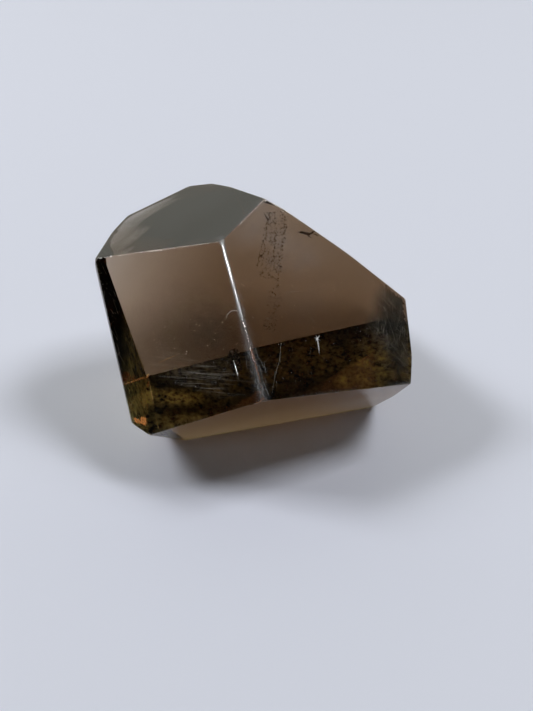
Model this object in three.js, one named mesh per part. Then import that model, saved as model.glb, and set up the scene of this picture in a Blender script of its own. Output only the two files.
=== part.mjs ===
// Smoky quartz crystal: one grown point, lying on its flat foot, every face cut and polished.
// Millimetres, +Z up. The crystal rests on the plane z = 0, and the origin is the middle of its
// bounding box on that plane. +X is its long side, and its front looks along -Y.
//
// The shape is made the way a stone is cut: each flat face is one plane, given by the way it
// looks (azimuth round +Z from +X, and elevation above the horizontal, in degrees) and by its
// distance in millimetres from the heart, a point inside the stone.
import * as THREE from 'three';
import { ConvexGeometry } from 'three/addons/geometries/ConvexGeometry.js';

// The two prism faces that the crystal grew with, and the narrow polished edge between them.
const frontLeftFace = { azimuth: -119.5, elevation: 36, distance: 14.9 };
const frontRightFace = { azimuth: -54, elevation: 47.5, distance: 13.5 };
const frontRidgeFlat = { azimuth: -90, elevation: 46.5, distance: 15.5 };

// The face that ends the crystal at the top, and the cut base that overhangs the front.
const topFace = { azimuth: -174, elevation: 70, distance: 18.2 };
const frontUnderside = { azimuth: -75, elevation: -35, distance: 15.5 };

// The foot that it rests on, and the undercut back.
const foot = { azimuth: 0, elevation: -90, distance: 15 };
const backUnderside = { azimuth: 110.5, elevation: -22, distance: 13.6 };

// The two ends.
const leftFace = { azimuth: 178.2, elevation: -22.6, distance: 18.65 };
const leftEdgeFlat = { azimuth: -156.8, elevation: 4, distance: 22.2 };
const rightFace = { azimuth: 11.5, elevation: -5.5, distance: 22.35 };
const rightLowerFace = { azimuth: 4, elevation: -11.5, distance: 23.4 };

// Small corner cuts beside the foot.
const leftFootCut = { azimuth: -133, elevation: -45, distance: 21.7 };
const rightFootCut = { azimuth: -15.5, elevation: -32, distance: 24.9 };

// The long slope behind the right face, in three gentle steps.
const backSlopeTop = { azimuth: 52.5, elevation: 43.5, distance: 16.8 };
const backSlopeMiddle = { azimuth: 46, elevation: 40, distance: 16.3 };
const backSlopeEnd = { azimuth: 42, elevation: 38, distance: 16.7 };

// The rounded rim behind the top face, in five steps from left to right.
const leftRimLow = { azimuth: 162, elevation: 2.5, distance: 23.6 };
const leftRimHigh = { azimuth: 151, elevation: 10, distance: 24.4 };
const backRimLeft = { azimuth: 118, elevation: 25.5, distance: 22.3 };
const backRimMiddle = { azimuth: 83, elevation: 32.5, distance: 19.2 };
const backRimRight = { azimuth: 66.5, elevation: 50.5, distance: 19.1 };

// Polishing eases every edge to a flat this wide.
const easedEdgeWidth = 0.3;

// Two corners closer than this are one corner, and a corner this near a face lies on it.
const cornerTolerance = 1e-4;

// Smoky brown and clear, with a wet-looking polish.
const quartzColour = 0x5a4636;
const quartzRoughness = 0.08;
const quartzMetalness = 0;

const cutFaces = [
  frontLeftFace, frontRightFace, frontRidgeFlat, topFace, frontUnderside, foot, backUnderside,
  leftFace, leftEdgeFlat, rightFace, rightLowerFace, leftFootCut, rightFootCut,
  backSlopeTop, backSlopeMiddle, backSlopeEnd,
  leftRimLow, leftRimHigh, backRimLeft, backRimMiddle, backRimRight,
];

// A cut as a plane whose normal points out of the stone: n . p = d, with p from the heart.
function cutPlane({ azimuth, elevation, distance }) {
  const turn = THREE.MathUtils.degToRad(azimuth);
  const lift = THREE.MathUtils.degToRad(elevation);
  const normal = new THREE.Vector3(
    Math.cos(turn) * Math.cos(lift),
    Math.sin(turn) * Math.cos(lift),
    Math.sin(lift),
  );
  return { normal, distance };
}

// The point that three planes share, or null where they are too near parallel to meet in one.
function meetingPoint(a, b, c) {
  const bc = new THREE.Vector3().crossVectors(b.normal, c.normal);
  const ca = new THREE.Vector3().crossVectors(c.normal, a.normal);
  const ab = new THREE.Vector3().crossVectors(a.normal, b.normal);
  const volume = a.normal.dot(bc);
  if (Math.abs(volume) < 1e-7) return null;
  return bc.multiplyScalar(a.distance)
    .addScaledVector(ca, b.distance)
    .addScaledVector(ab, c.distance)
    .divideScalar(volume);
}

// The corners of the stone that the planes leave: every meeting point that no plane cuts away.
function stoneCorners(planes) {
  const corners = [];
  for (let i = 0; i < planes.length; i += 1) {
    for (let j = i + 1; j < planes.length; j += 1) {
      for (let k = j + 1; k < planes.length; k += 1) {
        const point = meetingPoint(planes[i], planes[j], planes[k]);
        if (point === null) continue;
        const cutAway = planes.some((p) => p.normal.dot(point) > p.distance + cornerTolerance);
        const known = corners.some((corner) => corner.distanceTo(point) < cornerTolerance);
        if (!cutAway && !known) corners.push(point);
      }
    }
  }
  return corners;
}

// One narrow plane along each edge: it leans halfway between the two faces that meet there.
function easingPlanes(planes, width) {
  const corners = stoneCorners(planes);
  const easings = [];
  for (let i = 0; i < planes.length; i += 1) {
    for (let j = i + 1; j < planes.length; j += 1) {
      const shared = corners.filter((corner) => [planes[i], planes[j]].every(
        (p) => Math.abs(p.normal.dot(corner) - p.distance) < cornerTolerance,
      ));
      if (shared.length < 2) continue;
      const normal = new THREE.Vector3().addVectors(planes[i].normal, planes[j].normal).normalize();
      const halfTurn = planes[i].normal.angleTo(planes[j].normal) / 2;
      const depth = (width / 2) * Math.tan(halfTurn);
      easings.push({ normal, distance: normal.dot(shared[0]) - depth });
    }
  }
  return easings;
}

// The whole stone as one closed geometry, set down with its foot at z = 0 about the origin.
function crystalGeometry() {
  const cuts = cutFaces.map(cutPlane);
  const planes = [...cuts, ...easingPlanes(cuts, easedEdgeWidth)];
  const geometry = new ConvexGeometry(stoneCorners(planes));
  geometry.computeBoundingBox();
  const box = geometry.boundingBox;
  const middle = box.getCenter(new THREE.Vector3());
  geometry.translate(-middle.x, -middle.y, -box.min.z);
  return geometry;
}

const smokyQuartz = new THREE.MeshStandardMaterial({
  color: quartzColour,
  roughness: quartzRoughness,
  metalness: quartzMetalness,
});

const crystal = new THREE.Mesh(crystalGeometry(), smokyQuartz);
crystal.name = 'smoky_quartz_crystal';

const group = new THREE.Group();
group.add(crystal);

export default group;
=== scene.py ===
"""Smoky quartz crystal: the polished stone, the flaws inside it, its painted highlights, glow and shade, a
plain floor, soft light and a camera.
"""
import logging
from dataclasses import dataclass, field
from enum import Enum
from itertools import combinations
from math import cos, pi, radians, sin
from typing import Any, Sequence

import bpy
import numpy as np
from mathutils import Euler, Matrix, Vector
from mathutils.geometry import delaunay_2d_cdt


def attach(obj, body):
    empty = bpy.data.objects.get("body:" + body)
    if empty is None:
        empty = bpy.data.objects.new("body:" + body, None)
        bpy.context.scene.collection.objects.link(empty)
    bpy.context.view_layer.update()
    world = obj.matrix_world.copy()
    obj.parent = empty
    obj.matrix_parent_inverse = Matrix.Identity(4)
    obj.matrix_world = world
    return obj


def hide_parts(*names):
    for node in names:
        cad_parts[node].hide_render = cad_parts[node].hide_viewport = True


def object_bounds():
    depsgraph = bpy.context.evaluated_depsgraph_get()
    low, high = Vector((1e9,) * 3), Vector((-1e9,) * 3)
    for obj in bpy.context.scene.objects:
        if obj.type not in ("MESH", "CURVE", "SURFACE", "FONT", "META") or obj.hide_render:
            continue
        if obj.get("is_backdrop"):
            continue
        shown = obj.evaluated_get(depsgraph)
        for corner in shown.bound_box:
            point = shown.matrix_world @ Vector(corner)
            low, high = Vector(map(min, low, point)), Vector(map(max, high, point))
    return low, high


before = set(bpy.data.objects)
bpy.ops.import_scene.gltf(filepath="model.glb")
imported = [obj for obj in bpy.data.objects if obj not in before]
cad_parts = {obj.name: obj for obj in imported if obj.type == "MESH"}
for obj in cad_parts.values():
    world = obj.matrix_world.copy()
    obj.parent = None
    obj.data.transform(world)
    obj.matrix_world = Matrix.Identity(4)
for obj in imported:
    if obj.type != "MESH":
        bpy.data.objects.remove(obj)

LOG = logging.getLogger("smoky_quartz")
MM = 0.001
INNER_BOUNCES = 24
GLOSSY_BOUNCES = 16
BODY = "root"
CAD_NODE = "smoky_quartz_crystal"


Colour = tuple[float, float, float, float]
Point = tuple[float, float, float]
Path = tuple[np.ndarray, float]  # the points of a line, in mm, and its thickness, in mm


def facing(azimuth: float, elevation: float) -> np.ndarray:
    """Return the unit vector that points this way, both angles in degrees."""
    a, e = radians(azimuth), radians(elevation)
    return np.array((cos(a) * cos(e), sin(a) * cos(e), sin(e)))


def rise(values: np.ndarray, start: float, reach: float) -> np.ndarray:
    """Return 0 up to the start, 1 past its reach and a straight slope between them."""
    return np.clip((values - start) / reach, 0.0, 1.0)


def placed(name: str, data: bpy.types.ID) -> bpy.types.Object:
    """Put a mesh, a lamp or a camera into the scene as an object at the origin."""
    thing = bpy.data.objects.new(name, data)
    bpy.context.collection.objects.link(thing)
    return thing


def marked(mesh: bpy.types.Mesh, name: str, values: Sequence[float]) -> None:
    """Write one number for each point of a mesh."""
    mark = mesh.attributes.new(name, "FLOAT", "POINT")
    mark.data.foreach_set("value", values)


# --- node helpers


class Signal:
    """A node's output, whose arithmetic adds Math nodes."""

    def __init__(self, bench: "Bench", node: bpy.types.Node, name: str | int = 0) -> None:
        """Take one output of a node on a bench."""
        self.bench = bench
        self.node = node
        self.name = name

    def out(self, name: str | int) -> "Signal":
        """Return another output of the same node."""
        return Signal(self.bench, self.node, name)

    def maths(self, operation: str, first: Any, second: Any = 0.0) -> "Signal":
        """Return the result of a Math node on two numbers or Signals."""
        settings = {"operation": operation}
        return self.bench.add("ShaderNodeMath", settings, {0: first, 1: second})

    def __add__(self, other: Any) -> "Signal":
        """Return self + other."""
        return self.maths("ADD", self, other)

    __radd__ = __add__

    def __sub__(self, other: Any) -> "Signal":
        """Return self - other."""
        return self.maths("SUBTRACT", self, other)

    def __rsub__(self, other: Any) -> "Signal":
        """Return other - self."""
        return self.maths("SUBTRACT", other, self)

    def __mul__(self, other: Any) -> "Signal":
        """Return self * other."""
        return self.maths("MULTIPLY", self, other)

    __rmul__ = __mul__

    def __pow__(self, other: Any) -> "Signal":
        """Return self ** other."""
        return self.maths("POWER", self, other)

    def above(self, low: float, high: float) -> "Signal":
        """Return 0 below low, 1 above high and a smooth step between them."""
        sockets = {"Value": self, "From Min": low, "From Max": high}
        return self.bench.add("ShaderNodeMapRange", {"interpolation_type": "SMOOTHSTEP"}, sockets)


class Bench:
    """A node tree with one method that adds any node."""

    def __init__(self, tree: bpy.types.NodeTree) -> None:
        """Work on a tree, which the caller has cleared."""
        self.tree = tree

    def add(self, kind: str, settings: dict[str, Any] | None = None,
            sockets: dict[Any, Any] | None = None) -> Signal:
        """Add one node.

        Args:
            kind: The node's type name.
            settings: The node's own properties, set first.
            sockets: Numbers, colours or Signals for its input sockets, by name or number.

        Returns:
            The node's first output, from which the others can be had.
        """
        node = self.tree.nodes.new(kind)
        for key, value in (settings or {}).items():
            setattr(node, key, value)
        for key, value in (sockets or {}).items():
            if isinstance(value, Signal):
                self.tree.links.new(value.node.outputs[value.name], node.inputs[key])
            else:
                node.inputs[key].default_value = value
        return Signal(self, node)


def fresh_material(name: str) -> tuple[bpy.types.Material, Bench]:
    """Make a material with an empty node tree.

    Args:
        name: The material's name.

    Returns:
        The material and a bench on its tree.
    """
    material = bpy.data.materials.new(name)
    material.use_nodes = True
    material.node_tree.nodes.clear()
    return material, Bench(material.node_tree)


# --- finishes


@dataclass(frozen=True)
class QuartzFinish:
    """Clear smoky quartz: a hand polish, worn edges with a painted highlight on the ridge, a scuffed right
    end and a frosted foot with a painted glow.
    """

    index: float = 1.544
    density: float = 124.0
    smoke: Colour = (0.467, 0.30, 0.10, 1.0)
    polish: float = 0.008
    # Pale colour of ground scuffs, also used for the painted highlight on the ridge.
    scuff_and_painted_highlight_colour: Colour = (0.80, 0.84, 0.88, 1.0)
    # The frost's colour, lighter and greener than frost, and its glow are painted light standing in for
    # light from the floor.
    frost_colour: Colour = (0.88, 1.0, 0.60, 1.0)
    painted_frost_glow: Colour = (1.0, 0.95, 0.34, 1.0)
    painted_glow_strength: float = 0.16

    def make(self) -> bpy.types.Material:
        """Build the material."""
        material, bench = fresh_material("smoky_quartz")
        place = bench.add("ShaderNodeTexCoord").out("Object")
        glass = bench.add("ShaderNodeBsdfPrincipled", {}, {
            "Base Color": (1.0, 1.0, 1.0, 1.0),
            "Transmission Weight": 1.0,
            "IOR": self.index,
            "Roughness": self.polish,
            "Normal": self.ripple(bench, place),
        })
        scuff = bench.add("ShaderNodeBsdfDiffuse", {}, {"Color": self.scuff_and_painted_highlight_colour, "Roughness": 1.0})
        # Frost with painted light: the emission is a glow standing in for light from the floor.
        frost = bench.add("ShaderNodeBsdfPrincipled", {}, {
            "Base Color": self.frost_colour,
            "Roughness": 0.9,
            "IOR": 1.1,
            "Emission Color": self.painted_frost_glow,
            "Emission Strength": self.painted_glow_strength,
        })
        worn = bench.add("ShaderNodeMixShader", {}, {0: self.scuff_cover(bench, place), 1: glass, 2: scuff})
        seat = bench.add("ShaderNodeMixShader", {}, {0: self.frost_cover(bench, place), 1: worn, 2: frost})
        smoke = bench.add("ShaderNodeVolumeAbsorption", {}, {"Color": self.smoke, "Density": self.density})
        bench.add("ShaderNodeOutputMaterial", {}, {"Surface": seat, "Volume": smoke})
        return material

    def grain(self, bench: Bench, place: Signal, scale: float, detail: float = 2.0,
              stretch: Point = (1.0, 1.0, 1.0), turn: Point = (0.0, 0.0, 0.0)) -> Signal:
        """Return a soft noise in the stone.

        Args:
            bench: The tree.
            place: Object coordinates, in metres.
            scale: Waves to the metre.
            detail: How many finer layers it has.
            stretch: How much finer it is along each axis.
            turn: The turn of those axes, in degrees.

        Returns:
            The noise, mostly between 0.25 and 0.75.
        """
        turned = bench.add("ShaderNodeMapping", {"vector_type": "TEXTURE"}, {
            "Vector": place, "Rotation": tuple(radians(t) for t in turn),
            "Scale": tuple(1.0 / part for part in stretch)})
        return bench.add("ShaderNodeTexNoise", {}, {
            "Vector": turned, "Scale": scale, "Detail": detail, "Roughness": 0.55})

    def mark(self, bench: Bench, name: str) -> Signal:
        """Return an attribute of the stone's mesh."""
        return bench.add("ShaderNodeAttribute", {"attribute_name": name}).out("Fac")

    def ripple(self, bench: Bench, place: Signal) -> Signal:
        """Return the normal of the hand polish: long soft drag marks."""
        drag = self.grain(bench, place, 260.0, 1.0, (0.35, 1.0, 1.0), (0.0, -20.0, 28.0))
        return bench.add("ShaderNodeBump", {}, {"Strength": 0.5, "Distance": 0.00002, "Height": drag})

    def scuff_cover(self, bench: Bench, place: Signal) -> Signal:
        """Return how much of the surface is ground rough: the ridge, the edges and the right end, with a
        painted highlight on the ridge.
        """
        broken = self.grain(bench, place, 2600.0, 3.0)
        streaks = self.grain(bench, place, 3800.0, 2.0, (1.0, 0.5, 0.10), (24.0, -30.0, 0.0))
        smears = self.grain(bench, place, 190.0, 4.0, (0.45, 1.0, 0.8), (10.0, -20.0, 32.0))
        # The ridge: a painted highlight, a narrow white line at its top, and a wider scuff of wear lower
        # down.
        ridge = self.mark(bench, "ridge_wear_and_painted_highlight") * (0.55 + broken * 0.6)
        hairs = self.mark(bench, "end_scuff") * (streaks.above(0.50, 0.74) * 0.09 + 0.004)
        edges = self.mark(bench, "edge_wear") * broken.above(0.54, 0.72) * 0.10
        haze = self.mark(bench, "haze") * smears.above(0.36, 0.70)
        whole = ridge + hairs + edges + haze
        return whole.maths("MINIMUM", whole, 0.92)

    def frost_cover(self, bench: Bench, place: Signal) -> Signal:
        """Return how much of the seat and the left face is frosted with a painted glow, in ragged patches
        and specks.
        """
        patch = self.grain(bench, place, 480.0, 3.0)
        speck = self.grain(bench, place, 1300.0, 2.0)
        uneven = 0.85 + 4.4 * (patch - 0.5) + 3.6 * (speck - 0.5)
        cover = self.mark(bench, "frost") * uneven.maths("MAXIMUM", uneven, 0.0)
        return cover.maths("MINIMUM", cover, 0.96)


@dataclass(frozen=True)
class FlawFinish:
    """A plain finish for a small flaw: a tint, how clear it is and a fine grain."""

    name: str
    tint: Colour
    second_tint: Colour
    clear: float = 0.0
    roughness: float = 0.6
    grain_scale: float = 3000.0
    metallic: float = 0.0
    fading: bool = False

    def make(self) -> bpy.types.Material:
        """Build the material."""
        material, bench = fresh_material(self.name)
        place = bench.add("ShaderNodeTexCoord").out("Object")
        noise = bench.add("ShaderNodeTexNoise", {}, {
            "Vector": place, "Scale": self.grain_scale, "Detail": 2.0})
        tint = bench.add("ShaderNodeMix", {"data_type": "RGBA"}, {
            0: noise.above(0.35, 0.65), 6: self.tint, 7: self.second_tint}).out(2)
        cover = (1.0 - self.clear) * (0.7 + 0.6 * noise)
        if self.fading:
            cover = cover * bench.add("ShaderNodeAttribute", {"attribute_name": "fade"}).out("Fac")
        body = bench.add("ShaderNodeBsdfPrincipled", {}, {
            "Base Color": tint, "Roughness": self.roughness, "IOR": 1.3, "Metallic": self.metallic,
            "Alpha": cover})
        bench.add("ShaderNodeOutputMaterial", {}, {"Surface": body})
        return material


@dataclass(frozen=True)
class FloorFinish:
    """Plain pale matt board."""

    colour: Colour = (0.74, 0.775, 0.90, 1.0)

    def make(self) -> bpy.types.Material:
        """Build the material."""
        material, bench = fresh_material("pale_board")
        board = bench.add("ShaderNodeBsdfPrincipled", {}, {"Base Color": self.colour, "Roughness": 0.6})
        bench.add("ShaderNodeOutputMaterial", {}, {"Surface": board})
        return material


# --- the stone


@dataclass(frozen=True)
class Facet:
    """One polished face: the way it looks, in degrees, and its distance from the heart, in mm."""

    name: str
    azimuth: float
    elevation: float
    reach: float

    def normal(self) -> np.ndarray:
        """Return the unit vector that the face looks along."""
        return facing(self.azimuth, self.elevation)


FACETS = tuple(Facet(*row) for row in (
    ("front_left", -119.5, 36.0, 14.9),
    ("front_right", -54.0, 47.5, 13.5),
    ("front_ridge", -90.0, 46.5, 15.5),
    ("top", -174.0, 70.0, 18.2),
    ("front_underside", -75.0, -35.0, 15.5),
    ("foot", 0.0, -90.0, 15.0),
    ("back_underside", 110.5, -22.0, 13.6),
    ("left", 178.2, -22.6, 18.65),
    ("left_edge", -156.8, 4.0, 22.2),
    ("right", 11.5, -5.5, 22.35),
    ("right_lower", 4.0, -11.5, 23.4),
    ("left_foot_cut", -133.0, -45.0, 21.7),
    ("right_foot_cut", -15.5, -32.0, 24.9),
    ("back_slope_top", 52.5, 43.5, 16.8),
    ("back_slope_middle", 46.0, 40.0, 16.3),
    ("back_slope_end", 42.0, 38.0, 16.7),
    ("left_rim_low", 162.0, 2.5, 23.6),
    ("left_rim_high", 151.0, 10.0, 24.4),
    ("back_rim_left", 118.0, 25.5, 22.3),
    ("back_rim_middle", 83.0, 32.5, 19.2),
    ("back_rim_right", 66.5, 50.5, 19.1),
))


# How hazy the polish is on each facet.
HAZE = {"top": 0.016, "front_underside": 0.03, "front_left": 0.003, "front_right": 0.003, "left_edge": 0.02}

# Hazier patches: the facet, then x, y, reach along x and y, in mm, and strength.
HAZE_PATCHES = (
    ("front_left", (-15.0, -6.0, 5.0, 6.0), 0.012),
    ("front_right", (3.0, 0.5, 7.0, 6.5), 0.16),
)

# Frosted patches on the foot, with the painted glow: x, y, reach along x and y, in mm, and strength.
SEAT_FROST = (
    (-9.4, -0.6, 4.6, 1.6, 0.88),
    (-14.2, -0.4, 1.6, 2.2, 0.95),
    (-7.5, -6.4, 6.5, 2.4, 0.30),
    (-3.0, 1.2, 4.5, 3.6, 0.17),
    (-7.0, 6.2, 6.0, 2.2, 0.20),
    (0.5, 5.0, 2.6, 6.0, 0.22),
    (6.2, 6.2, 6.8, 4.2, 0.24),
    (11.2, 1.2, 1.3, 1.5, 0.66),
    (15.8, 5.6, 3.8, 6.2, 0.46),
)

# Clear patches in that frost, written the same way.
SEAT_CLEAR = (
    (-9.8, -3.5, 3.4, 1.2, 1.0),
    (-5.6, -3.4, 1.2, 0.8, 0.60),
    (5.2, -0.6, 4.6, 1.3, 1.0),
    (11.4, 13.0, 2.0, 1.8, 0.90),
    (9.2, 0.6, 1.0, 2.0, 0.80),
)


@dataclass
class Stone:
    """The quartz crystal, cut as a lapidary cuts it: flat faces, then softened edges and a wavy polish."""

    finish: QuartzFinish
    limits: tuple[Sequence[float], Sequence[float]]
    limit_gap: float = 0.001
    facets: tuple[Facet, ...] = FACETS
    heart: Point = (-0.186, 0.451, 15.0)
    edge_softness: float = 0.036
    wave_depth: float = 0.02
    wave_count: int = 9
    wave_lengths: tuple[float, float] = (7.0, 22.0)
    wave_seed: int = 11
    softening_rounds: int = 14
    row_offsets: tuple[float, ...] = (0.025, 0.06, 0.11, 0.18, 0.28, 0.45, 0.8, 1.3)
    row_spacing: float = 0.45
    field_spacing: float = 1.2
    ridge_band: float = 0.8
    ridge_depth: float = 0.5
    edge_band: float = 0.10
    facet_band: float = 0.25
    seat_frost: float = 0.05
    normals: np.ndarray = field(init=False)
    reaches: np.ndarray = field(init=False)

    def __post_init__(self) -> None:
        """Work out the plane of each facet."""
        self.normals = np.array([f.normal() for f in self.facets])
        self.reaches = np.array([f.reach for f in self.facets])

    def number(self, name: str) -> int:
        """Return the number of the facet with this name."""
        return [f.name for f in self.facets].index(name)

    def corners(self) -> list[tuple[np.ndarray, frozenset[int]]]:
        """Find the points where three facets meet, measured from the heart.

        Returns:
            Each corner with the numbers of its facets.
        """
        found: list[tuple[np.ndarray, frozenset[int]]] = []
        for trio in combinations(range(len(self.facets)), 3):
            planes = self.normals[list(trio)]
            if abs(np.linalg.det(planes)) < 1e-6:
                continue
            point = np.linalg.solve(planes, self.reaches[list(trio)])
            if (self.normals @ point <= self.reaches + 1e-7).all():
                found.append((point, frozenset(trio)))
        return found

    def outline(self, facet: int, corners: list[tuple[np.ndarray, frozenset[int]]]) -> list[np.ndarray]:
        """Order the corners of one facet anticlockwise as seen from outside.

        Args:
            facet: The facet's number.
            corners: All corners.

        Returns:
            The corner points in order.
        """
        own = [point for point, facets in corners if facet in facets]
        middle = np.mean(own, axis=0)
        across, up = self.axes(facet)
        return sorted(own, key=lambda p: np.arctan2((p - middle) @ up, (p - middle) @ across))

    def axes(self, facet: int) -> tuple[np.ndarray, np.ndarray]:
        """Return two unit vectors in the facet's plane, the first one level."""
        normal = self.normals[facet]
        across = np.cross((0.0, 0.0, 1.0), normal)
        if np.linalg.norm(across) < 1e-6:
            across = np.array((1.0, 0.0, 0.0))
        across = across / np.linalg.norm(across)
        return across, np.cross(normal, across)

    def paved(self, facet: int, outline: list[np.ndarray]) -> tuple[np.ndarray, np.ndarray]:
        """Pave one flat facet with triangles that are fine near its edges.

        Args:
            facet: The facet's number.
            outline: Its corners in order.

        Returns:
            The points in the facet's plane and the triangles.
        """
        across, up = self.axes(facet)
        flat = np.array([(p @ across, p @ up) for p in outline])
        along = np.roll(flat, -1, axis=0) - flat
        lengths = np.linalg.norm(along, axis=1)
        along = along / lengths[:, None]
        inward = np.stack((-along[:, 1], along[:, 0]), axis=1)

        def depth(points: np.ndarray) -> np.ndarray:
            """Return how far each point lies inside each side."""
            return np.einsum("psk,sk->ps", points[:, None, :] - flat[None], inward)

        rim: list[np.ndarray] = []
        rows: list[np.ndarray] = []
        for i in range(len(flat)):
            steps = max(1, round(lengths[i] / self.row_spacing))
            line = flat[i] + (np.arange(steps + 1) / steps)[:, None] * lengths[i] * along[i]
            rim.append(line[:-1])
            for offset in self.row_offsets:
                row = line + offset * inward[i]
                if offset > 0.5:
                    row = row[::2]
                clear = depth(row)
                clear[:, i] = offset
                rows.append(row[clear.min(axis=1) > offset - 1e-6])
        border = np.concatenate(rim)
        low, high = flat.min(axis=0), flat.max(axis=0)
        step = self.field_spacing
        xs = np.arange(low[0], high[0], step)
        ys = np.arange(low[1], high[1], step * 0.866)
        grid = np.array([(x + 0.5 * step * (j % 2), y) for j, y in enumerate(ys) for x in xs])
        inner = grid[depth(grid).min(axis=1) > self.row_offsets[-1] + 0.4] if len(grid) else grid
        points = np.concatenate([border, *rows, inner.reshape(-1, 2)])
        loop = [(i, (i + 1) % len(border)) for i in range(len(border))]
        verts, _, faces, *_ = delaunay_2d_cdt(
            [Vector(p) for p in points], loop, [list(range(len(border)))], 1, 1e-7)
        flat_points = np.array([tuple(v) for v in verts])
        lifted = flat_points[:, :1] * across + flat_points[:, 1:] * up
        lifted = lifted + self.normals[facet] * self.reaches[facet]
        return lifted, np.array([list(f) for f in faces if len(f) == 3])

    def polish_wave(self, points: np.ndarray) -> np.ndarray:
        """Return how far the hand polish has worn the surface down at each point, in mm."""
        rng = np.random.default_rng(self.wave_seed)
        total = np.zeros(len(points))
        for _ in range(self.wave_count):
            direction = rng.normal(size=3)
            direction /= np.linalg.norm(direction)
            length = rng.uniform(*self.wave_lengths)
            phase = rng.uniform(0.0, 2.0 * pi)
            total += np.sin(points @ direction * 2.0 * pi / length + phase) * length / self.wave_lengths[1]
        return self.wave_depth * (1.0 + total / 5.0)

    def softened(self, points: np.ndarray) -> np.ndarray:
        """Draw points of the sharp stone in to the softened stone.

        Args:
            points: Points measured from the heart.

        Returns:
            The points moved towards the heart.
        """
        scale = np.ones(len(points))
        for _ in range(self.softening_rounds):
            here = points * scale[:, None]
            wear = self.polish_wave(here)
            gaps = (here @ self.normals.T - self.reaches + wear[:, None]) / self.edge_softness
            top = gaps.max(axis=1)
            share = np.exp(gaps - top[:, None])
            total = share.sum(axis=1)
            level = self.edge_softness * (top + np.log(total))
            slope = (share / total[:, None]) @ self.normals
            rate = np.einsum("pk,pk->p", slope, points)
            scale -= level / rate
        return points * scale[:, None]

    def facet_gap(self, points: np.ndarray, name: str) -> np.ndarray:
        """Return how far each point lies below the plane of one facet, in mm."""
        number = self.number(name)
        return self.reaches[number] - points @ self.normals[number]

    def marks(self, points: np.ndarray) -> dict[str, np.ndarray]:
        """Work out where the stone is worn, frosted with a painted glow, and given a painted highlight on
        its ridge.

        Args:
            points: The mesh's points, measured from the heart.

        Returns:
            Values from 0 to 1 at each point, by name.
        """
        left = self.facet_gap(points, "front_left")
        right = self.facet_gap(points, "front_right")
        down = rise(-points[:, 2], -17.5, 16.0)
        across = np.abs(left - right) / self.ridge_band
        near = np.exp(-((np.minimum(left, right) / self.ridge_depth) ** 2))
        # The narrow white line on the upper ridge is a painted highlight; the wide band lower down is a
        # scuff.
        painted_highlight_line = 1.2 * np.exp(-((across / 0.20) ** 2)) * rise(-down, -0.50, 0.10)
        wide = 0.16 * np.exp(-((across / (0.25 + 0.45 * down)) ** 2)) * rise(down, 0.30, 0.20)
        gaps = np.sort(self.reaches - points @ self.normals.T, axis=1)
        edge = np.exp(-(((gaps[:, 1] - gaps[:, 0]) / self.edge_band) ** 2))
        on = {f.name: self.lies_on(points, f.name) for f in self.facets}
        end_front = on["front_right"] * rise(points[:, 0], 15.0, 7.0)
        # Frost on the foot and the left face; it also carries the painted glow.
        frost = np.zeros(len(points))
        for *patch, strength in SEAT_FROST:
            frost = np.maximum(frost, strength * self.spot(points, *patch))
        for *patch, strength in SEAT_CLEAR:
            frost = frost * (1.0 - strength * self.spot(points, *patch))
        frost = (self.seat_frost + frost) * on["foot"]
        low = rise(-points[:, 2], 3.0, 6.0)
        high = rise(points[:, 2], 6.0, 4.0)
        side = on["left"] * (0.06 * high + 0.22 * low)
        haze = on["front_underside"] * 0.26 * rise(points[:, 0], 7.0, 12.0) ** 1.5
        for name, strength in HAZE.items():
            haze = haze + strength * on[name]
        for name, patch, strength in HAZE_PATCHES:
            haze = haze + strength * on[name] * self.spot(points, *patch)
        return {
            "ridge_wear_and_painted_highlight": np.clip((painted_highlight_line + wide) * near, 0.0, 1.0),
            "edge_wear": edge,
            "end_scuff": np.clip(on["right"] + on["right_lower"] + 0.7 * end_front, 0.0, 1.0),
            "haze": haze,
            "frost": np.clip(frost + side, 0.0, 1.0),
        }

    def lies_on(self, points: np.ndarray, name: str) -> np.ndarray:
        """Return 1 on one facet, falling to 0 off it."""
        return np.exp(-((self.facet_gap(points, name) / self.facet_band) ** 2))

    def spot(self, points: np.ndarray, x: float, y: float, reach_x: float, reach_y: float) -> np.ndarray:
        """Return 1 at a place on the plan, falling to 0 past its reach along x and y, in mm."""
        across = (points[:, 0] + self.heart[0] - x) / reach_x
        along = (points[:, 1] + self.heart[1] - y) / reach_y
        return np.exp(-((across ** 2 + along ** 2) ** 1.5))

    def on_surface(self, points: np.ndarray) -> np.ndarray:
        """Move points, in mm in the part's frame, onto the softened surface."""
        return self.softened(points - np.array(self.heart)) + np.array(self.heart)

    def inside(self, points: np.ndarray, gap: float) -> np.ndarray:
        """Return which points, in mm in the part's frame, are at least a gap under every facet."""
        return ((points - np.array(self.heart)) @ self.normals.T <= self.reaches - gap).all(axis=1)

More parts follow.
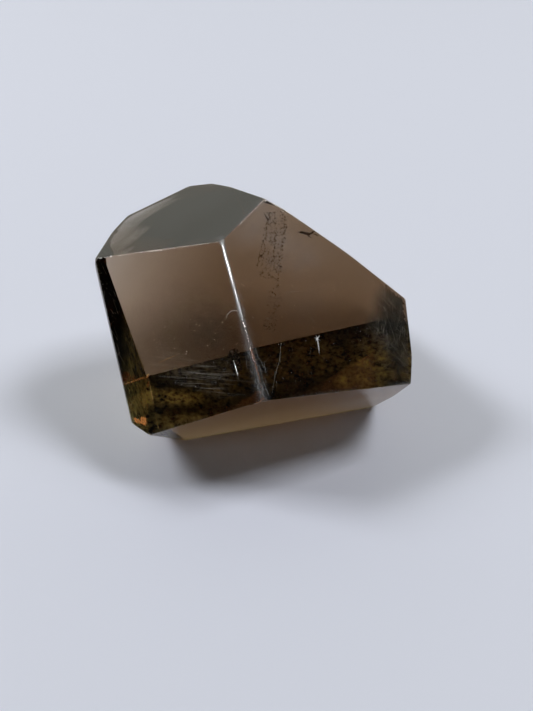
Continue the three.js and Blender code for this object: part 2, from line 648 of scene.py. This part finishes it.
    def build(self) -> bpy.types.Object:
        """Make the stone's mesh, in metres, and dress it.

        Returns:
            The crystal.
        """
        corners = self.corners()
        batches: list[np.ndarray] = []
        triangles: list[np.ndarray] = []
        start = 0
        for facet in range(len(self.facets)):
            points, faces = self.paved(facet, self.outline(facet, corners))
            batches.append(points)
            triangles.append(faces + start)
            start += len(points)
        sharp = np.concatenate(batches)
        faces = np.concatenate(triangles)
        keys: dict[tuple[int, int, int], int] = {}
        index = np.array([keys.setdefault(tuple(k), len(keys)) for k in np.round(sharp * 2000).astype(int)])
        merged = np.zeros((len(keys), 3))
        merged[index] = sharp
        faces = index[faces]
        keep = (faces[:, 0] != faces[:, 1]) & (faces[:, 1] != faces[:, 2]) & (faces[:, 0] != faces[:, 2])
        faces = faces[keep]
        low, high = (np.array(corner) / MM for corner in self.limits)
        soft = self.softened(merged) + np.array(self.heart)
        soft = np.clip(soft, low + self.limit_gap, high - self.limit_gap)
        mesh = bpy.data.meshes.new("smoky_quartz")
        mesh.from_pydata((soft * MM).tolist(), [], faces.tolist())
        mesh.validate()
        for name, values in self.marks(soft - np.array(self.heart)).items():
            marked(mesh, name, values.astype(np.float32))
        mesh.polygons.foreach_set("use_smooth", [True] * len(mesh.polygons))
        mesh.update()
        mesh.materials.append(self.finish.make())
        return placed("crystal", mesh)


# --- the flaws


class Flaw(Enum):
    """The finishes of the small flaws in and on the stone, and of its painted highlights, glints and shade.
    """

    SCRATCH = FlawFinish("scratch_powder", (0.72, 0.70, 0.62, 1.0), (0.50, 0.48, 0.42, 1.0), clear=0.5)
    SCUFF = FlawFinish("ridge_scuff", (0.80, 0.84, 0.86, 1.0), (0.62, 0.64, 0.64, 1.0), clear=0.5)
    CHIP = FlawFinish("fresh_chip", (0.95, 0.96, 0.97, 1.0), (0.85, 0.88, 0.90, 1.0))
    # White metal: a painted highlight on the ridge lines and the crack's glint, and the bright points of the
    # specks and dust.
    GLINT = FlawFinish("bright_glint", (1.0, 1.0, 1.0, 1.0), (0.92, 0.94, 0.95, 1.0),
                       roughness=0.28, metallic=1.0)
    NEEDLE = FlawFinish("dark_needle", (0.020, 0.012, 0.008, 1.0), (0.06, 0.035, 0.02, 1.0))
    VEIL = FlawFinish("dark_veil", (0.05, 0.032, 0.02, 1.0), (0.16, 0.11, 0.075, 1.0), clear=0.15)
    # Gold: painted glints on the left face, and an orange tint by the needle.
    GOLD = FlawFinish("gold_streak_and_painted_glint", (0.95, 0.70, 0.28, 1.0), (0.80, 0.48, 0.14, 1.0), clear=0.2)
    # Dark sheets of painted shade.
    SHADE_SHEET = FlawFinish("painted_shade_sheet", (0.022, 0.020, 0.013, 1.0), (0.060, 0.054, 0.038, 1.0), clear=0.08,
                       grain_scale=650.0, fading=True)


class GrowthTree:
    """A Geometry Nodes tree with named inputs that turns a plain mesh into a finished one."""

    def __init__(self, name: str, inputs: dict[str, str]) -> None:
        """Start a tree.

        Args:
            name: The tree's name.
            inputs: The socket type of each named input after the geometry.
        """
        self.tree = bpy.data.node_groups.new(name, "GeometryNodeTree")
        face = self.tree.interface
        face.new_socket("Geometry", in_out="INPUT", socket_type="NodeSocketGeometry")
        for label, kind in inputs.items():
            face.new_socket(label, in_out="INPUT", socket_type=kind)
        face.new_socket("Geometry", in_out="OUTPUT", socket_type="NodeSocketGeometry")
        self.bench = Bench(self.tree)
        self.given = self.bench.add("NodeGroupInput")

    def close(self, grown: Signal) -> None:
        """End the tree in Realize Instances and Set Material."""
        real = self.bench.add("GeometryNodeRealizeInstances", {}, {"Geometry": grown})
        dressed = self.bench.add("GeometryNodeSetMaterial", {}, {
            "Geometry": real, "Material": self.given.out("Finish")})
        self.bench.add("NodeGroupOutput", {}, {"Geometry": dressed})

    def grow(self, name: str, seed_mesh: bpy.types.Mesh, values: dict[str, Any]) -> bpy.types.Object:
        """Run the tree on a mesh and keep the result as a plain mesh.

        Args:
            name: The new object's name.
            seed_mesh: The mesh that the tree starts from.
            values: The tree's inputs by name.

        Returns:
            The finished object.
        """
        helper = placed(name, seed_mesh)
        modifier = helper.modifiers.new("growth", "NODES")
        modifier.node_group = self.tree
        for item in self.tree.interface.items_tree:
            if item.item_type == "SOCKET" and item.in_out == "INPUT" and item.name in values:
                modifier[item.identifier] = values[item.name]
        graph = bpy.context.evaluated_depsgraph_get()
        mesh = bpy.data.meshes.new_from_object(helper.evaluated_get(graph))
        helper.modifiers.remove(modifier)
        helper.data = mesh
        mesh.name = name
        return helper


def thread_tree() -> GrowthTree:
    """Build the tree that draws a fine tapered thread along each path."""
    growth = GrowthTree("thread", {"Radius": "NodeSocketFloat", "Finish": "NodeSocketMaterial"})
    bench = growth.bench
    paths = bench.add("GeometryNodeMeshToCurve", {}, {"Mesh": growth.given.out("Geometry")})
    share = bench.add("GeometryNodeSplineParameter").out("Factor")
    thick = bench.add("GeometryNodeInputNamedAttribute", {}, {"Name": "thick"})
    taper = (4.0 * share * (1.0 - share)) ** 0.6 * 0.9 + 0.1
    width = thick.out("Attribute") * taper
    shaped = bench.add("GeometryNodeSetCurveRadius", {}, {"Curve": paths, "Radius": width})
    ring = bench.add("GeometryNodeCurvePrimitiveCircle", {}, {
        "Resolution": 5, "Radius": growth.given.out("Radius")})
    tube = bench.add("GeometryNodeCurveToMesh", {}, {
        "Curve": shaped, "Profile Curve": ring.out("Curve"), "Scale": width, "Fill Caps": True})
    growth.close(tube)
    return growth


def fleck_tree() -> GrowthTree:
    """Build the tree that scatters small grains over a sheet."""
    growth = GrowthTree("flecks", {"Crowd": "NodeSocketFloat", "Size": "NodeSocketFloat",
                                   "Seed": "NodeSocketInt", "Finish": "NodeSocketMaterial"})
    bench = growth.bench
    given = growth.given
    points = bench.add("GeometryNodeDistributePointsOnFaces", {}, {
        "Mesh": given.out("Geometry"), "Density": given.out("Crowd"), "Seed": given.out("Seed")})
    grain = bench.add("GeometryNodeMeshIcoSphere", {}, {"Radius": given.out("Size"), "Subdivisions": 1})
    turn = bench.add("FunctionNodeRandomValue", {"data_type": "FLOAT_VECTOR"}, {
        0: (0.0, 0.0, 0.0), 1: (2.0 * pi, 2.0 * pi, 2.0 * pi), "Seed": given.out("Seed")})
    stretch = bench.add("FunctionNodeRandomValue", {"data_type": "FLOAT_VECTOR"}, {
        0: (0.35, 0.35, 0.35), 1: (1.7, 1.1, 1.1), "Seed": 5})
    grains = bench.add("GeometryNodeInstanceOnPoints", {}, {
        "Points": points.out("Points"), "Instance": grain.out("Mesh"), "Rotation": turn,
        "Scale": stretch})
    growth.close(grains)
    return growth


@dataclass
class HairField:
    """A field of fine scratches on one facet, in mm and degrees."""

    facet: str
    centre: Point
    half_across: float
    half_up: float
    angle: float
    angle_spread: float
    count: int
    shortest: float
    longest: float
    thick: float
    seed: int
    sink: float = 0.7

    def paths(self, stone: Stone) -> list[Path]:
        """Lay the scratches on the stone.

        Args:
            stone: The stone that they lie on.

        Returns:
            The path of each scratch.
        """
        rng = np.random.default_rng(self.seed)
        number = stone.number(self.facet)
        across, up = stone.axes(number)
        found: list[Path] = []
        for _ in range(self.count):
            start = np.array(self.centre) + across * rng.uniform(-1, 1) * self.half_across
            start = start + up * rng.uniform(-1, 1) * self.half_up
            turn = radians(self.angle + rng.normal() * self.angle_spread)
            length = rng.uniform(self.shortest, self.longest) * rng.uniform(0.4, 1.0)
            bow = rng.normal() * 0.03 * length
            heading = across * cos(turn) + up * sin(turn)
            side = up * cos(turn) - across * sin(turn)
            share = np.linspace(-0.5, 0.5, 6)
            line = start + np.outer(share * length, heading) + np.outer((1.0 - 4.0 * share ** 2) * bow, side)
            thick = self.thick * rng.uniform(0.5, 1.3)
            if stone.inside(line - stone.normals[number] * 0.3, 0.12).all():
                sunk = stone.normals[number] * thick * self.sink
                found.append((stone.on_surface(line) - sunk, thick))
        return found


@dataclass
class RidgeHairs:
    """Short scuffs that run along the ridge between the two front faces."""

    high: Point = (-4.58, -3.50, 32.62)
    low: Point = (2.04, -19.98, 16.98)
    count: int = 90
    seed: int = 21

    def paths(self, stone: Stone) -> list[Path]:
        """Lay the scuffs on the stone.

        Args:
            stone: The stone that they lie on.

        Returns:
            The path of each scuff.
        """
        rng = np.random.default_rng(self.seed)
        high, low = np.array(self.high), np.array(self.low)
        run = (low - high) / np.linalg.norm(low - high)
        sideways = np.cross(run, (0.0, -0.7, 0.7))
        sideways = sideways / np.linalg.norm(sideways)
        found: list[Path] = []
        for _ in range(self.count):
            share = rng.uniform(0.25, 0.97)
            start = high + (low - high) * share + sideways * rng.normal() * (0.15 + 0.55 * share)
            heading = run + sideways * rng.normal() * 0.12
            line = start + np.outer(np.linspace(-0.5, 0.5, 5) * rng.uniform(0.4, 2.2), heading)
            if stone.inside(line - np.array((0.0, -0.5, 0.5)), 0.1).all():
                found.append((stone.on_surface(line), rng.uniform(0.008, 0.018)))
        return found

    def line(self, stone: Stone, start: float, end: float) -> np.ndarray:
        """Return points along the very ridge between two shares of its length, in mm."""
        high, low = np.array(self.high), np.array(self.low)
        share = np.linspace(start, end, 14)
        return stone.on_surface(high + np.outer(share, low - high))


@dataclass
class ShadeSheet:
    """Painted shade: a thin dark sheet just under one facet, thick in round patches and fading out of them.
    """

    name: str
    facet: str
    centre: Point
    half: float
    patches: tuple[tuple[float, float, float, float, float], ...]
    depth: float = 0.7
    step: float = 0.4
    thick: float = 0.05

    def fade(self, places: np.ndarray) -> np.ndarray:
        """Return how thick the painted shade is at each place, in mm, from 0 to 1."""
        total = np.zeros(len(places))
        for x, y, z, reach, strength in self.patches:
            far = np.linalg.norm(places - np.array((x, y, z)), axis=1) / reach
            total = 1.0 - (1.0 - total) * (1.0 - strength * np.exp(-far ** 2.2))
        return np.clip(total - 0.01, 0.0, 1.0)

    def build(self, stone: Stone, finish: bpy.types.Material) -> bpy.types.Object:
        """Make the sheet, closed round its border.

        Args:
            stone: The stone that it lies in.
            finish: Its material.

        Returns:
            The piece.
        """
        number = stone.number(self.facet)
        across, up = stone.axes(number)
        normal = stone.normals[number]
        centre = np.array(self.centre)
        height = (centre - np.array(stone.heart)) @ normal
        centre = centre + normal * (stone.reaches[number] - self.depth - height)
        reach = round(self.half / self.step)
        cells = range(-reach, reach + 1)
        spots = {(i, j): centre + (across * i + up * j) * self.step for i in cells for j in cells}
        kept = {key: place for key, place in spots.items()
                if stone.inside(place[None], 0.25)[0] and self.fade(place[None])[0] > 0.0}
        order = {key: place for place, key in enumerate(kept)}
        count = len(order)
        front = np.array(list(kept.values()))
        faces: list[tuple[int, ...]] = []
        border: set[tuple[int, int]] = set()
        for i, j in kept:
            ring = [(i, j), (i + 1, j), (i + 1, j + 1), (i, j + 1)]
            if all(key in order for key in ring):
                quad = [order[key] for key in ring]
                faces.append(tuple(quad))
                faces.append(tuple(v + count for v in reversed(quad)))
                border |= set(zip(quad, quad[1:] + quad[:1]))
        faces += [(b, a, a + count, b + count) for a, b in sorted(border) if (b, a) not in border]
        points = np.concatenate([front, front - normal * self.thick])
        mesh = bpy.data.meshes.new(self.name)
        mesh.from_pydata((points * MM).tolist(), [], faces)
        marked(mesh, "fade", self.fade(points).astype(np.float32))
        mesh.materials.append(finish)
        return placed(self.name, mesh)


# Single marks on the skin of the stone: the points of each, in mm, and then its thickness.
SKIN_MARKS = {
    "scratches": (
        ((4.2, -12.1, 21.6), (4.05, -13.3, 20.8), (4.0, -14.4, 20.0), (3.3, -16.5, 18.8),
         (2.9, -19.3, 17.1), 0.022),
        ((4.4, -6.3, 25.8), (5.9, -5.7, 25.5), (7.3, -5.1, 25.2), 0.026),
        ((4.6, -6.5, 25.5), (6.0, -5.9, 25.2), 0.014),
        ((-9.0, -13.5, 17.7), (-7.0, -14.1, 18.2), (-5.1, -14.8, 18.7), 0.022),
        ((-12.0, -14.1, 14.9), (-8.5, -15.3, 15.9), (-5.1, -16.4, 16.8), 0.022),
        ((-7.7, -16.0, 15.5), (-5.4, -16.7, 16.3), (-3.0, -17.4, 17.0), 0.020),
    ),
    # White metal threads, a painted glint where a crack near the ridge catches the light.
    "bright_glints": (
        ((-2.45, -14.0, 19.8), (-2.2, -14.6, 19.3), (-1.8, -15.6, 18.4), 0.085),
        ((-2.0, -15.2, 18.8), (-1.75, -15.9, 18.1), 0.12),
    ),
    "chips": (
        ((-3.7, -10.7, 24.0), (-3.5, -10.2, 24.6), (-2.9, -10.0, 25.1), (-2.2, -10.2, 25.3),
         (-1.6, -10.6, 25.3), 0.035),
        ((9.0, -10.3, 20.0), (9.3, -9.9, 20.2), (9.7, -9.4, 20.4), 0.10),
        ((9.1, -9.6, 20.5), (9.3, -9.9, 20.2), (9.45, -10.8, 19.4), (9.6, -11.6, 18.8), 0.085),
        ((8.7, -9.9, 20.4), (9.3, -9.9, 20.2), (9.9, -10.1, 19.9), 0.06),
    ),
    # Gold threads on the left face: painted glints, gold light seen in the stone there.
    "gold_streaks_and_painted_glints": (
        ((-13.6, -11.2, 16.4), (-12.0, -11.3, 17.4), (-10.4, -11.4, 18.4), 0.022),
        ((-13.3, -11.4, 16.4), (-11.9, -11.5, 17.2), 0.016),
        ((-15.3, -12.0, 14.6), (-15.1, -12.0, 14.8), (-14.8, -11.9, 15.0), 0.11),
        ((-15.0, -12.4, 14.4), (-14.3, -13.6, 13.0), (-13.6, -14.8, 11.6), 0.028),
        ((-13.4, -15.1, 11.2), (-12.6, -16.2, 9.8), (-12.2, -16.8, 9.1), 0.022),
        ((-13.9, -12.6, 14.7), (-13.4, -13.6, 13.5), 0.014),
    ),
}

# Single marks inside the stone, written the same way.
DEEP_MARKS = {
    # An orange tint by the needle.
    "gold_streaks_and_painted_glints": (
        ((8.7, 3.6, 29.4), (9.1, 3.5, 29.2), (9.4, 3.5, 29.1), 0.06),
    ),
    "needle": (
        ((6.4, 2.7, 30.15), (6.9, 2.9, 30.0), (7.5, 3.0, 29.8), (8.1, 3.1, 29.6), (8.7, 3.5, 29.5), 0.22),
        ((8.0, 3.1, 29.6), (8.6, 3.45, 29.65), (9.2, 3.9, 29.75), 0.13),
        ((7.6, 3.0, 29.8), (8.0, 2.85, 29.45), (8.5, 2.7, 29.1), 0.12),
        ((8.6, 3.4, 29.5), (9.2, 3.4, 29.25), (9.6, 3.4, 29.1), 0.09),
        ((0.9, 4.7, 32.0), (1.3, 4.3, 31.5), (1.8, 3.9, 31.0), 0.09),
        ((1.6, 5.2, 31.4), (1.9, 4.6, 31.1), (2.0, 3.9, 30.9), 0.07),
    ),
}

# The pieces made of threads, in the order that they are made, and their finishes.
THREADS = (
    ("scratches", Flaw.SCRATCH), ("ridge_scuffs", Flaw.SCUFF), ("bright_glints", Flaw.GLINT),
    ("chips", Flaw.CHIP), ("specks", Flaw.GLINT), ("needle", Flaw.NEEDLE), ("gold_streaks_and_painted_glints", Flaw.GOLD),
)

# The bright lines on the ridge, white metal threads that are a painted highlight: from and to, as shares of
# its length, and thickness in mm.
RIDGE_LINES = ((0.004, 0.32, 0.23), (0.20, 0.46, 0.10))

# The narrow strips that the veil's grains lie in: their middle lines, in mm, and widths.
VEIL_RAILS = (
    (((1.6, 5.7, 31.1), (1.25, 3.9, 29.9), (0.9, 2.0, 28.7), (0.45, 0.2, 27.6), (0.0, -1.7, 26.5)), 0.55),
    (((3.4, 6.6, 30.9), (3.9, 5.9, 30.1), (4.1, 5.1, 29.4), (3.9, 3.5, 28.3), (3.6, 1.8, 27.1),
      (3.3, -0.6, 25.5), (2.9, -3.1, 23.9)), 0.5),
    (((2.3, 6.2, 31.1), (2.5, 5.0, 30.2), (2.6, 3.0, 28.8), (2.4, 0.9, 27.3), (2.3, -1.0, 26.0)), 0.4),
)
VEIL_MIDDLE = (
    (((2.5, 6.1, 31.0), (2.6, 4.5, 29.8), (2.4, 2.2, 28.2), (1.8, 0.2, 26.9), (1.5, -2.5, 25.0)), 2.8),
    (((2.9, -3.1, 23.9), (2.4, -6.0, 22.0), (1.7, -8.8, 20.3)), 2.0),
)
CRACK = ((((-2.5, -12.6, 20.1), (-1.9, -15.0, 18.4)), 1.6),)

# Where single grains of dust lie, in mm.
DUST = (
    (5.7, -5.0, 26.1), (3.5, -6.0, 26.5), (8.9, -8.9, 21.5), (11.1, -8.2, 20.8), (-9.6, -12.1, 18.9),
    (-13.6, -10.0, 18.7), (8.0, -3.0, 26.0), (12.0, -3.0, 24.0), (-9.0, -9.0, 23.0), (16.0, -7.0, 19.0),
)


@dataclass
class Flaws:
    """The scratches, chips, needle, veil, gold streaks and dust of the stone, its painted highlights and
    glints, and its sheets of painted shade.
    """

    stone: Stone
    fields: tuple[HairField, ...] = tuple(HairField(*row) for row in (
        ("front_left", (-8.5, -14.3, 16.9), 6.0, 2.1, 15.5, 1.6, 80, 4.0, 11.0, 0.0085, 31),
        ("front_left", (-8.0, -11.0, 20.8), 6.5, 6.0, 20.0, 50.0, 60, 0.4, 3.0, 0.008, 32),
        ("front_right", (7.0, -8.0, 22.5), 9.0, 8.0, 30.0, 55.0, 90, 0.3, 2.6, 0.010, 33),
        ("front_right", (20.6, -5.0, 18.2), 2.6, 4.8, 58.0, 22.0, 40, 0.8, 5.0, 0.0125, 34),
        ("front_right", (20.0, -5.0, 18.0), 3.0, 5.0, 110.0, 14.0, 30, 0.8, 6.0, 0.011, 35),
        ("right", (23.0, -1.0, 13.0), 6.0, 5.0, 80.0, 20.0, 60, 0.8, 5.0, 0.012, 36),
        ("top", (-11.0, 6.5, 33.0), 9.0, 6.0, 35.0, 14.0, 40, 0.8, 5.0, 0.006, 37),
        ("front_underside", (4.0, -15.5, 9.0), 14.0, 5.0, 8.0, 12.0, 50, 0.8, 5.0, 0.009, 38),
        ("back_slope_middle", (14.0, 11.0, 24.0), 6.0, 6.0, 30.0, 40.0, 50, 0.5, 4.0, 0.009, 39),
        ("back_underside", (-4.0, 14.0, 12.0), 12.0, 7.0, 20.0, 40.0, 60, 0.5, 4.0, 0.009, 40),
        ("left", (-20.0, 0.0, 18.0), 7.0, 7.0, 70.0, 30.0, 60, 0.5, 4.0, 0.009, 41),
    ))
    specks: tuple[HairField, ...] = tuple(HairField(*row) for row in (
        ("front_right", (8.0, -7.5, 22.5), 10.5, 8.5, 0.0, 90.0, 80, 0.10, 0.30, 0.030, 42),
        ("front_left", (-8.0, -11.0, 20.8), 7.0, 7.0, 0.0, 90.0, 45, 0.10, 0.30, 0.028, 43),
    ))
    # Dark sheets of painted shade: under the end of the right face and, fainter, under the left face.
    shade_sheets: tuple[ShadeSheet, ...] = (
        ShadeSheet("painted_shade_right", "front_right", (20.0, -5.0, 18.5), 11.0, (
            (22.4, -0.4, 20.6, 2.5, 0.82), (22.4, -3.6, 18.2, 2.6, 0.82), (23.2, -7.0, 15.2, 2.6, 0.55),
            (18.6, -5.2, 19.2, 1.2, 0.75), (20.6, -3.4, 19.6, 1.9, 0.72), (19.8, -2.0, 21.0, 1.4, 0.45))),
        ShadeSheet("painted_shade_left", "front_left", (-8.0, -11.0, 21.5), 14.0, (
            (-10.2, -9.8, 22.0, 6.4, 0.20), (-5.6, -11.6, 22.2, 4.6, 0.24))),
    )

    threads: GrowthTree = field(default_factory=thread_tree)
    grains: GrowthTree = field(default_factory=fleck_tree)
    made: dict[Flaw, bpy.types.Material] = field(default_factory=dict)

    def thread(self, name: str, paths: Sequence[Path], flaw: Flaw) -> bpy.types.Object:
        """Draw threads along paths.

        Args:
            name: The piece's name.
            paths: The paths.
            flaw: The finish.

        Returns:
            The piece.
        """
        points = np.concatenate([path for path, _ in paths])
        edges: list[tuple[int, int]] = []
        thick: list[float] = []
        for path, width in paths:
            start = len(thick)
            edges += [(start + i, start + i + 1) for i in range(len(path) - 1)]
            thick += [width] * len(path)
        mesh = bpy.data.meshes.new(name)
        mesh.from_pydata((points * MM).tolist(), edges, [])
        marked(mesh, "thick", thick)
        return self.threads.grow(name, mesh, {"Radius": MM, "Finish": self.finish(flaw)})

    def flecks(self, name: str, strips: Sequence[tuple[Sequence[Sequence[float]], float]], crowd: float,
               size: float, seed: int, flaw: Flaw) -> bpy.types.Object:
        """Scatter grains over narrow strips.

        Args:
            name: The piece's name.
            strips: The middle line of each strip and its width, in mm.
            crowd: Grains to the square millimetre.
            size: The grains' radius, in mm.
            seed: The random seed.
            flaw: The finish.

        Returns:
            The piece.
        """
        points: list[list[float]] = []
        quads: list[tuple[int, int, int, int]] = []
        for line, width in strips:
            middle = np.array(line, dtype=float)
            run = np.gradient(middle, axis=0)
            side = np.cross(run, (0.3, -0.7, 0.6))
            side = side / np.linalg.norm(side, axis=1)[:, None] * width / 2.0
            start = len(points)
            for near, far in zip(middle - side, middle + side):
                points += [list(near * MM), list(far * MM)]
            quads += [(start + 2 * i, start + 2 * i + 1, start + 2 * i + 3, start + 2 * i + 2)
                      for i in range(len(middle) - 1)]
        mesh = bpy.data.meshes.new(name)
        mesh.from_pydata(points, [], quads)
        return self.grains.grow(name, mesh, {
            "Crowd": crowd / MM ** 2, "Size": size * MM, "Seed": seed, "Finish": self.finish(flaw)})

    def finish(self, flaw: Flaw) -> bpy.types.Material:
        """Return a flaw's material, made once."""
        if flaw not in self.made:
            self.made[flaw] = flaw.value.make()
        return self.made[flaw]

    def on(self, points: Sequence[Sequence[float]]) -> np.ndarray:
        """Return points moved onto the stone's surface, in mm."""
        return self.stone.on_surface(np.array(points, dtype=float))

    def marks(self) -> dict[str, list[Path]]:
        """Lay out every thread-like flaw.

        Returns:
            The paths of each piece, by its name.
        """
        ridge = RidgeHairs()
        paths: dict[str, list[Path]] = {
            "scratches": [path for hairs in self.fields for path in hairs.paths(self.stone)],
            "ridge_scuffs": ridge.paths(self.stone),
            "bright_glints": [(ridge.line(self.stone, start, end), thick)
                              for start, end, thick in RIDGE_LINES],
            "specks": [path for hairs in self.specks for path in hairs.paths(self.stone)],
        }
        for name, rows in SKIN_MARKS.items():
            paths.setdefault(name, []).extend((self.on(line), thick) for *line, thick in rows)
        for name, rows in DEEP_MARKS.items():
            paths.setdefault(name, []).extend((np.array(line), thick) for *line, thick in rows)
        return paths

    def build(self) -> list[bpy.types.Object]:
        """Make every flaw.

        Returns:
            The pieces.
        """
        paths = self.marks()
        dust = [(self.on([(x, y, z), (x + 0.05, y, z)]), 0.6) for x, y, z in DUST]
        return [
            *(self.thread(name, paths[name], flaw) for name, flaw in THREADS),
            self.flecks("veil_rails", VEIL_RAILS, 14.0, 0.115, 3, Flaw.VEIL),
            self.flecks("veil_middle", VEIL_MIDDLE, 10.0, 0.09, 4, Flaw.VEIL),
            self.flecks("crack_knots", CRACK, 15.0, 0.24, 6, Flaw.NEEDLE),
            self.flecks("dust", dust, 40.0, 0.075, 8, Flaw.GLINT),
            *(shade_sheet.build(self.stone, self.finish(Flaw.SHADE_SHEET)) for shade_sheet in self.shade_sheets),
        ]


# --- the studio


@dataclass(frozen=True)
class SoftBox:
    """A rectangular soft light that faces the stone: degrees, metres and watts."""

    name: str
    azimuth: float
    elevation: float
    distance: float
    size: tuple[float, float]
    watts: float
    lights_matt: bool = True

    def hang(self) -> None:
        """Put the light up."""
        light = bpy.data.lights.new(self.name, "AREA")
        light.shape = "RECTANGLE"
        light.size, light.size_y = self.size
        light.energy = self.watts
        lamp = placed(self.name, light)
        away = Vector(facing(self.azimuth, self.elevation))
        turn = away.to_track_quat("Z", "Y").to_matrix()
        lamp.matrix_world = Matrix.Translation(away * self.distance) @ turn.to_4x4()
        lamp.visible_diffuse = self.lights_matt


@dataclass
class Studio:
    """A plain pale floor, four soft boxes and a room that is bright behind the stone and dark in front."""

    floor_half: float = 1.5
    floor_gap: float = 0.00004
    light_behind: float = 0.56
    shade_overhead: float = 0.34
    light_in_front: float = 0.012
    room_colour: Colour = (1.0, 0.98, 0.78, 1.0)
    seen_colour: Colour = (0.60, 0.63, 0.62, 1.0)
    boxes: tuple[SoftBox, ...] = (
        SoftBox("window_left", 162.0, 43.0, 0.8, (0.26, 0.24), 3.05),
        SoftBox("window_right", 18.0, 55.0, 0.8, (0.28, 0.26), 3.05),
        SoftBox("window_back", 117.0, 26.0, 1.0, (0.55, 0.35), 0.25),
        SoftBox("ridge_strip", -93.0, 60.0, 0.8, (0.28, 0.125), 2.7, lights_matt=False),
    )

    def floor(self) -> bpy.types.Object:
        """Make the floor, a hair below the stone's foot."""
        half, z = self.floor_half, -self.floor_gap
        mesh = bpy.data.meshes.new("floor")
        corners = [(-half, -half, z), (half, -half, z), (half, half, z), (-half, half, z)]
        mesh.from_pydata(corners, [], [(0, 1, 2, 3)])
        mesh.materials.append(FloorFinish().make())
        floor = placed("floor", mesh)
        floor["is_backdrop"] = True
        return floor

    def room(self) -> None:
        """Light the room: bright behind the stone, dark in front."""
        world = bpy.data.worlds.new("room")
        world.use_nodes = True
        world.node_tree.nodes.clear()
        bench = Bench(world.node_tree)
        way = bench.add("ShaderNodeTexCoord").out("Generated")
        parts = bench.add("ShaderNodeSeparateXYZ", {}, {0: way})
        level = self.light_behind - self.shade_overhead * parts.out("Z").above(0.58, 0.74)
        strength = parts.out("Y").above(0.0, 0.7) * level + self.light_in_front
        room = bench.add("ShaderNodeBackground", {}, {"Color": self.room_colour, "Strength": strength})
        plain = bench.add("ShaderNodeBackground", {}, {"Color": self.seen_colour, "Strength": 1.0})
        sight = bench.add("ShaderNodeLightPath").out("Is Camera Ray")
        both = bench.add("ShaderNodeMixShader", {}, {0: sight, 1: room, 2: plain})
        bench.add("ShaderNodeOutputWorld", {}, {"Surface": both})
        bpy.context.scene.world = world

    def build(self) -> None:
        """Put up the floor, the room and the soft boxes."""
        self.floor()
        self.room()
        for box in self.boxes:
            box.hang()


@dataclass
class Viewpoint:
    """The camera, looking down at the stone from the front."""

    place: Point = (0.002074, -0.122299, 0.11195)
    pitch: float = 40.25
    roll: float = 0.63
    sensor: float = 24.0
    lens: float = 33.53

    def build(self) -> bpy.types.Object:
        """Make the camera and make it the scene's own."""
        data = bpy.data.cameras.new("view")
        data.sensor_fit = "VERTICAL"
        data.sensor_height = self.sensor
        data.sensor_width = self.sensor
        data.lens = self.lens
        data.clip_start = 0.005
        camera = placed("view", data)
        tilt = Euler((radians(90.0 - self.pitch), 0.0, 0.0)).to_matrix()
        turn = tilt @ Matrix.Rotation(radians(self.roll), 3, "Z")
        camera.matrix_world = Matrix.Translation(self.place) @ turn.to_4x4()
        bpy.context.scene.camera = camera
        return camera


def set_look() -> None:
    """Let light bounce often enough inside the stone."""
    scene = bpy.context.scene
    scene.view_settings.view_transform = "Standard"
    scene.cycles.max_bounces = INNER_BOUNCES
    scene.cycles.glossy_bounces = GLOSSY_BOUNCES
    scene.cycles.transmission_bounces = INNER_BOUNCES
    scene.cycles.transparent_max_bounces = INNER_BOUNCES


def main() -> None:
    """Build the crystal and its studio, then report the pieces."""
    logging.basicConfig(level=logging.INFO, format="%(name)s: %(message)s")
    cad_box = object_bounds()
    set_look()
    Viewpoint().build()
    Studio().build()
    crystal = Stone(QuartzFinish(), cad_box)
    stone = crystal.build()
    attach(stone, BODY)
    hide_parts(CAD_NODE)
    LOG.info("%s: %d triangles", stone.name, len(stone.data.polygons))
    for piece in Flaws(crystal).build():
        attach(piece, BODY)
        LOG.info("%s: %d faces", piece.name, len(piece.data.polygons))


if __name__ == "__main__":
    main()
